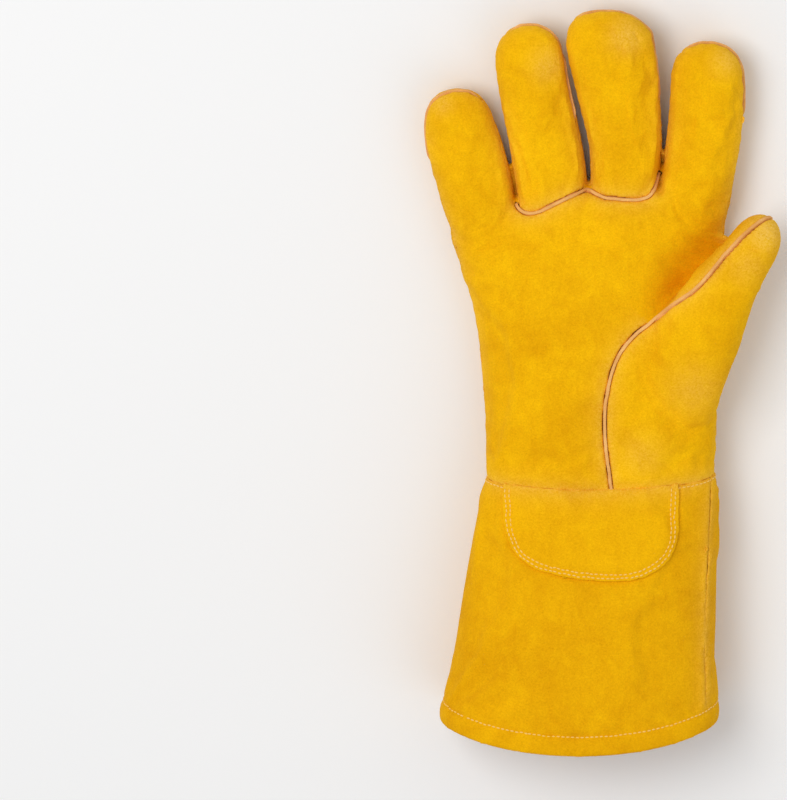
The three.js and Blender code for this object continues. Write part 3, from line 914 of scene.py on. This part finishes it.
def round_cut_edges(piece, radius):
    add_modifier(piece, "BEVEL", width=radius, segments=2, limit_method="ANGLE", angle_limit=1)


def thicken(piece, thickness=LEATHER, radius=0.5 * MM):
    """Gives a panel its thickness, inwards, and rounds its cut edges."""
    add_modifier(piece, "SOLIDIFY", thickness=thickness, offset=-1, use_quality_normals=True)
    round_cut_edges(piece, radius)


def set_inputs(node, inputs):
    """Gives a shader node's inputs their values, or links them to other nodes' outputs."""
    for key, value in dict(inputs).items():
        if isinstance(value, bpy.types.NodeSocket):
            node.id_data.links.new(value, node.inputs[key])
        else:
            node.inputs[key].default_value = value


def add_node(tree, kind, inputs=(), **settings):
    made = tree.nodes.new("ShaderNode" + kind)
    for name, value in settings.items():
        setattr(made, name, value)
    set_inputs(made, inputs)
    return made


def scaled_noise(tree, place, scale, detail=3, distortion=0.0, roughness=0.5):
    inputs = {
        "Vector": place, "Scale": scale, "Detail": detail, "Distortion": distortion,
        "Roughness": roughness,
    }
    return add_node(tree, "TexNoise", inputs).outputs["Fac"]


def math_node(tree, operation, *values):
    return add_node(tree, "Math", enumerate(values), operation=operation).outputs[0]


def between(tree, value, low, high, to_low=0.0, to_high=1.0):
    """Stretches a value's range from low to high over a new range."""
    inputs = {"Value": value, "From Min": low, "From Max": high, "To Min": to_low, "To Max": to_high}
    return add_node(tree, "MapRange", inputs).outputs[0]


def mixed(tree, share, colour, other, blend_type="MIX"):
    """Goes from one colour to the other as the share grows."""
    inputs = {"Factor": share, "A": colour, "B": other}
    return add_node(tree, "Mix", inputs, data_type="RGBA", blend_type=blend_type).outputs[2]


def relief(tree, height, strength, distance):
    inputs = {"Height": height, "Strength": strength, "Distance": distance}
    return add_node(tree, "Bump", inputs).outputs[0]


def start_material(name):
    """A new material, its node tree, its shader and the place on the piece."""
    material = bpy.data.materials.new(name)
    material.use_nodes = True
    tree = material.node_tree
    place = add_node(tree, "TexCoord").outputs["Object"]
    return material, tree, tree.nodes["Principled BSDF"], place


def nap_group():
    """The suede side of split cowhide: clouds of lighter and darker dye, brushed nap and fibres."""
    group = bpy.data.node_groups.new("split_leather_nap", "ShaderNodeTree")
    group.interface.new_socket("Place", in_out="INPUT", socket_type="NodeSocketVector")
    for output in ("Tone", "Fleck", "Height"):
        group.interface.new_socket(output, in_out="OUTPUT", socket_type="NodeSocketFloat")
    start = group.nodes.new("NodeGroupInput")
    end = group.nodes.new("NodeGroupOutput")
    place = start.outputs["Place"]
    brushed_place = add_node(group, "Mapping", {"Vector": place, "Scale": (1, 0.35, 1)}).outputs[0]
    clouds = scaled_noise(group, place, 24, 4, 0.4)
    patches = scaled_noise(group, place, 95, 5, 0.8, 0.6)
    brushed = scaled_noise(group, brushed_place, 420, 4, 0.5, 0.6)
    grain = scaled_noise(group, place, 1100, 4, 0.2, 0.65)
    fibres = scaled_noise(group, brushed_place, 3600, 2)
    tone = math_node(group, "MULTIPLY_ADD", patches, 0.75, clouds)
    tone = math_node(group, "MULTIPLY_ADD", brushed, 0.45, tone)
    fleck = math_node(group, "MULTIPLY_ADD", fibres, 0.5, grain)
    height = math_node(group, "MULTIPLY_ADD", brushed, 0.8, grain)
    height = math_node(group, "MULTIPLY_ADD", fibres, 0.35, height)
    tone, fleck = between(group, tone, 0.75, 1.4), between(group, fleck, 0.5, 0.95)
    set_inputs(end, {"Tone": tone, "Fleck": fleck, "Height": height})
    return group


NAP = nap_group()


def gold_leather(name, deep, bright, pale):
    """Gold split cowhide from its deepest dye to its brightest, and a pale colour for two things:
    the painted highlight along turned seam edges and the rubbed wear of use.
    """
    material, tree, shader, place = start_material(name)
    nap = add_node(tree, "Group", {"Place": place}, node_tree=NAP).outputs
    panel_tone = add_node(tree, "Attribute", attribute_name="tone").outputs["Fac"]
    dye = mixed(tree, math_node(tree, "ADD", nap["Tone"], panel_tone), deep, bright)
    flecked = mixed(tree, 1.0, dye, between(tree, nap["Fleck"], 0, 1, 0.86, 1.1), "MULTIPLY")
    edge = add_node(tree, "Attribute", attribute_name="edge").outputs["Fac"]
    # Painted highlight along turned edges together with rubbed wear: the edge attribute mixes in the
    # pale colour
    pale_highlight_and_wear = math_node(tree, "MULTIPLY", edge, between(tree, nap["Fleck"], 0.2, 0.9, 0.05, 0.4))
    set_inputs(shader, {
        "Base Color": mixed(tree, pale_highlight_and_wear, flecked, pale),
        "Roughness": between(tree, nap["Fleck"], 0, 1, 0.98, 0.82),
        "Specular IOR Level": 0.05,
        "Sheen Weight": 0.06,
        "Sheen Roughness": 0.5,
        "Sheen Tint": (1, 0.7, 0.1, 1),
        "Normal": relief(tree, nap["Height"], strength=0.4, distance=0.45 * MM),
    })
    return material


# The last colour of each is the pale of the painted edge highlight and of rubbed wear
hand_leather = gold_leather(
    "gold_split_leather", (0.77, 0.36, 0.001, 1), (0.96, 0.52, 0.002, 1), (0.94, 0.64, 0.18, 1)
)
cuff_leather = gold_leather(
    "cuff_split_leather", (0.73, 0.33, 0.001, 1), (0.91, 0.475, 0.002, 1), (0.92, 0.6, 0.14, 1)
)
BACK_FACES_KEPT = 0.66  # of the largest panel, the back

for name in PANELS[1:]:
    piece = finished(f"{name}_leather", panel_form(name), hand_leather, "hand_leather", name)
    if name == "back":
        add_modifier(piece, "DECIMATE", ratio=BACK_FACES_KEPT)
    thicken(piece)


# Cuff
# The cuff is one wide piece of the same leather, closed by a seam on the thumb side. Its lower
# edge is folded up inside and sewn down with one row of stitches.

HEM_FOLD = 1.75 * MM  # radius of the fold's outside
HEM_PUFF = 0.6 * MM
HEM_GROOVE = 0.5 * MM
HEM_GROOVE_WIDTH = 1.3
HEM_GATHER = 4 * MM  # size of the patches in which the stitches pull more or less
FOLD_STEPS = 8


def puff_hem(form):
    """Rounds the doubled hem out and draws a groove in along its stitches."""
    form.normal_update()
    for v, height in zip(form.verts, past_hem(drawn_places(form))):
        puff = HEM_PUFF * max(np.sin(pi * height / HEM_HEIGHT), 0) if height < HEM_HEIGHT else 0
        gather = 1 + 0.5 * noise.noise(v.co / HEM_GATHER)
        groove = HEM_GROOVE * gather * np.exp(-(((height - HEM_HEIGHT) / HEM_GROOVE_WIDTH) ** 2))
        v.co += v.normal * (puff - groove)


def fold_hem(form):
    """Turns the cuff's lower edge round and up inside."""
    base, out, up = (form.verts.layers.float_vector.new(name) for name in ("base", "out", "up"))
    form.normal_update()
    rim = [e for e in seam_edges(form, "hem") if e.is_boundary]
    for v in once_each(v for e in rim for v in e.verts):
        v[base] = v.co
        v[out] = v.normal
        v[up] = (Vector((0, 1, 0)) - v.normal * v.normal.y).normalized()
    turns = np.linspace(0, pi, FOLD_STEPS + 1)[1:]
    profile = [(HEM_FOLD * (np.cos(turn) - 1), -HEM_FOLD * np.sin(turn)) for turn in turns]
    profile += [(-2 * HEM_FOLD, rise * MM) for rise in range(1, HEM_HEIGHT + 1)]
    for outward, upward in profile:
        made = bmesh.ops.extrude_edge_only(form, edges=rim)["geom"]
        verts = set(verts_of(made))
        rim = [e for e in edges_of(made) if set(e.verts) <= verts]
        for v in verts:
            v.co = v[base] + v[out] * outward + v[up] * upward
    bmesh.ops.recalc_face_normals(form, faces=form.faces)


cuff = panel_form("cuff")
puff_hem(cuff)
patch = cuff.copy()
cuff_surface = BVHTree.FromBMesh(cuff)
fold_hem(cuff)
thicken(finished("cuff_leather", cuff, cuff_leather, "cuff_leather", "cuff"))


# Cuff patch
# A half-round patch of leather covers the pulse, laid on the cuff's palm side. Its top is caught
# in the wrist seam and its raw edge is sewn down with two rows of stitches.

PATCH_LEATHER = 1.4 * MM
PATCH_PROUD = 1.6 * MM
PATCH_SEWN = 3.2 * MM
PATCH_GROOVE = 0.5 * MM
PATCH_GROOVE_WIDTH = 1.6 * MM
PATCH_TONE = 0.2
PATCH_MIDDLE = (Vector((0, 140, 50)) - PATTERN_MIDDLE) * MM

middles = drawn_middles(patch)
on_patch = (inside_patch(middles) > 0) & in_front(middles)
others = [f for f, kept in zip(patch.faces, on_patch) if not kept]
bmesh.ops.delete(patch, geom=others, context="FACES")
patch.normal_update()
tone = patch.verts.layers.float["tone"]
for v, inset in zip(patch.verts, inside_patch(drawn_places(patch)) * MM):
    groove = PATCH_GROOVE * np.exp(-(((inset - PATCH_SEWN) / PATCH_GROOVE_WIDTH) ** 2))
    v.co += v.normal * (PATCH_PROUD - groove)
    v[tone] = PATCH_TONE
patch_surface = BVHTree.FromBMesh(patch)
patch_piece = finished("cuff_patch_leather", patch, cuff_leather, "cuff_leather", "cuff_patch")
thicken(patch_piece, PATCH_LEATHER, radius=0.3 * MM)


# Welts
# Strips of undyed leather sewn into the seams that wear most: round the fingertips, across the
# roots of the two middle fingers and up the thumb. Their cut edges stand a little proud.

WELT_WIDTH = 1.4 * MM
TIP_WELT_WIDTH = 1 * MM
WELT_PROUD = 0.7 * MM
WELT_DEEP = 2.2 * MM
WELT_RAGGED = 0.18 * MM
RAG_SIZE = 3 * MM
WELT_EVENED = 2  # how many times a strip's run is smoothed
TIP_WELT_SINK = 1.7 * MM
WELT_TAPER = 6 * MM  # over this length the ends sink

welt_leather, tree, shader, place = start_material("undyed_welt_leather")
soaked = between(tree, scaled_noise(tree, place, 85, 4, 0.5), 0.35, 0.68)
fibres = scaled_noise(tree, place, 2400, 3)
undyed = mixed(tree, soaked, (0.76, 0.36, 0.1, 1), (0.93, 0.52, 0.18, 1))
flecked = mixed(tree, 1.0, undyed, between(tree, fibres, 0.3, 0.7, 0.85, 1.1), "MULTIPLY")
set_inputs(shader, {
    "Base Color": flecked,
    "Roughness": between(tree, fibres, 0, 1, 0.95, 0.8),
    "Specular IOR Level": 0.1,
    "Normal": relief(tree, fibres, strength=0.35, distance=0.3 * MM),
})


def welt(name, chosen, width=WELT_WIDTH, sink=0):
    """A strip of leather that stands in the seam along the skin's edges of the chosen numbers."""
    strip = skin.copy()
    others = [e for e in strip.edges if e.index not in chosen]
    bmesh.ops.delete(strip, geom=others, context="EDGES")
    bmesh.ops.delete(strip, geom=[v for v in strip.verts if not v.link_edges], context="VERTS")
    sunk = strip.verts.layers.float.new("sunk")
    out = strip.verts.layers.float_vector["outward"]
    for _ in range(WELT_EVENED):
        bmesh.ops.smooth_vert(
            strip, verts=strip.verts, factor=0.5, use_axis_x=True, use_axis_y=True, use_axis_z=True
        )
    ends = [v.co.copy() for v in strip.verts if len(v.link_edges) == 1]
    for v in strip.verts:
        from_end = min((v.co - end).length for end in ends)
        v[sunk] = sink * max(1 - from_end / WELT_TAPER, 0) ** 2
        v.co -= v[out] * WELT_DEEP
    for v in verts_of(bmesh.ops.extrude_edge_only(strip, edges=strip.edges)["geom"]):
        ragged = WELT_RAGGED * noise.noise(v.co / RAG_SIZE)
        v.co += v[out] * (WELT_DEEP + WELT_PROUD + ragged - v[sunk])
    bmesh.ops.recalc_face_normals(strip, faces=strip.faces)
    piece = finished(f"{name}_leather", strip, welt_leather, "welt_leather", name)
    add_modifier(piece, "SOLIDIFY", thickness=width, offset=0)
    round_cut_edges(piece, radius=0.35 * MM)


def panels_beside(edge):
    return {PANELS[f[panel_layer]] for f in edge.link_faces}


skin.normal_update()
skin.edges.index_update()
for v in skin.verts:
    v[outward] = v.normal
sewn = [e for e in skin.edges if len(panels_beside(e)) > 1]
sewn_points = drawn_on_edges(sewn)
sewn_names = np.array([SEAM_NAMES[e[seam]] for e in sewn])
at_tip = is_welted(sewn_points, sewn_names) & (sewn_names == "front")
finger = finger_number(sewn_points)
for number, digit in enumerate(FINGERS):
    chosen = {e.index for e, on_this in zip(sewn, at_tip & (finger == number)) if on_this}
    welt(f"welt_{digit.name}", chosen, TIP_WELT_WIDTH, TIP_WELT_SINK)
welt("welt_finger_roots", {e.index for e, name in zip(sewn, sewn_names) if name == "finger_roots"})
thumb_fronts = ({"thumb_outer", "palm"}, {"thumb_outer", "thumb_inner"})
welt("welt_thumb", {e.index for e in sewn if panels_beside(e) in thumb_fronts})


# Stitches
# Stout waxed thread in pale yellow: a row along the hem, two rows round the patch and the row that
# closes the wrist seam.

THREAD = 0.36 * MM  # radius
STITCH = 1.9 * MM
STITCH_PITCH = 2.3 * MM
STITCH_SLANT = 0.12  # the most that a stitch turns out of its row
STITCH_RISE = 0.3  # of the thread's radius, above the leather
PATCH_ROWS = (1.2 * MM, 3.4 * MM)
WRIST_ROW = 1.2 * MM

thread_yellow, tree, shader, place = start_material("waxed_thread")
soiled = scaled_noise(tree, place, 60, 3)
colour = mixed(tree, soiled, (0.95, 0.66, 0.2, 1), (0.93, 0.53, 0.05, 1))
set_inputs(shader, {"Base Color": colour, "Roughness": 0.6})


def seam_walk(name):
    """The skin's vertices along a seam, in order."""
    edges = dict.fromkeys(seam_edges(skin, name))
    verts = once_each(v for e in edges for v in e.verts)
    ends = [v for v in verts if sum(e in edges for e in v.link_edges) == 1]
    return walk_along(edges, ends[0] if ends else verts[0])


def beside_seam(name, inset, towards):
    """A path over the skin beside a seam, on the side that faces a place."""
    path = []
    walk = seam_walk(name)
    if walk[0] == walk[-1]:
        walk = [walk[-2], *walk, walk[1]]
    for before, v, after in zip(walk, walk[1:], walk[2:]):
        side = v.normal.cross(after.co - before.co).normalized()
        path.append(v.co + side * (inset if side.dot(towards - v.co) > 0 else -inset))
    return np.array(path)


round_bead = bmesh.new()
bmesh.ops.create_uvsphere(round_bead, u_segments=8, v_segments=5, radius=1)
bead_mesh = new_mesh("stitch", round_bead)


def stitch_row(form, surface, path):
    """Adds a row of stitches along a path, on the surface that it runs over."""
    along = distances_along(path)
    for number in range(int(along[-1] / STITCH_PITCH)):
        stations = (number + 0.5) * STITCH_PITCH + np.array([-0.5, 0, 0.5]) * STITCH
        before, middle, after = (Vector(at_distance(at, along, path)) for at in stations)
        place, normal, _, _ = surface.find_nearest(middle)
        run = (after - before).normalized()
        run = (run - normal * run.dot(normal)).normalized()
        side = normal.cross(run)
        slant = STITCH_SLANT * noise.noise(place / MM)
        run, side = run + side * slant, side - run * slant
        turn = Matrix((run, side, normal)).transposed().to_4x4()
        size = Matrix.Diagonal((STITCH / 2, THREAD, THREAD, 1))
        lift = Matrix.Translation(place + normal * THREAD * STITCH_RISE)
        stitch = bead_mesh.copy()
        stitch.transform(lift @ turn @ size)
        form.from_mesh(stitch)
        bpy.data.meshes.remove(stitch)


skin.normal_update()
stitches = bmesh.new()
stitch_row(stitches, cuff_surface, beside_seam("hem", HEM_HEIGHT * MM, Vector()))
stitch_row(stitches, cuff_surface, beside_seam("wrist", WRIST_ROW, Vector((0, -1, 0))))
for inset in PATCH_ROWS:
    stitch_row(stitches, patch_surface, beside_seam("patch", inset, PATCH_MIDDLE))
finished("cuff_stitches", stitches, thread_yellow, "welt_leather")


# Floor, light and camera
# The glove lies on a pale table under soft studio light, seen from above and a little from the
# side of the fingertips.

CAMERA_DISTANCE = 12
CAMERA_AIM = Vector((-0.0999, -0.0200, 0))
CAMERA_TILT = 15 * pi / 180
VIEW_HEIGHT = 0.3824  # of the picture, where the glove lies

floor_form = bmesh.new()
bmesh.ops.create_grid(floor_form, x_segments=1, y_segments=1, size=3)
floor_mesh = new_mesh("floor", floor_form)
new_object("floor", floor_mesh)
table_white, _, shader, _ = start_material("table_white")
set_inputs(shader, {"Base Color": (0.9, 0.9, 0.9, 1), "Roughness": 0.8})
floor_mesh.materials.append(table_white)


def soft_light(name, place, size, power):
    """A large square lamp that faces the glove."""
    lamp = bpy.data.lights.new(name, "AREA")
    lamp.size = size
    lamp.energy = power
    light = new_object(name, lamp)
    light.location = place
    light.rotation_euler = (-Vector(place)).to_track_quat("-Z", "Y").to_euler()


soft_light("overhead_softbox", (-0.7, 0.6, 1.7), 1.0, 17)
soft_light("fill_softbox", (1.0, -0.9, 1.5), 1.6, 4)
world = bpy.data.worlds.new("studio")
world.use_nodes = True
set_inputs(world.node_tree.nodes["Background"], {"Color": (1, 1, 1, 1), "Strength": 0.55})
bpy.context.scene.world = world
bpy.context.scene.view_settings.view_transform = "Standard"

camera = new_object("camera", bpy.data.cameras.new("camera"))
bpy.context.scene.camera = camera
camera.data.lens = camera.data.sensor_width * CAMERA_DISTANCE / VIEW_HEIGHT
back_of_camera = Vector((0, np.sin(CAMERA_TILT), np.cos(CAMERA_TILT)))
camera.location = CAMERA_AIM + back_of_camera * CAMERA_DISTANCE
camera.rotation_euler = (-CAMERA_TILT, 0, 0)
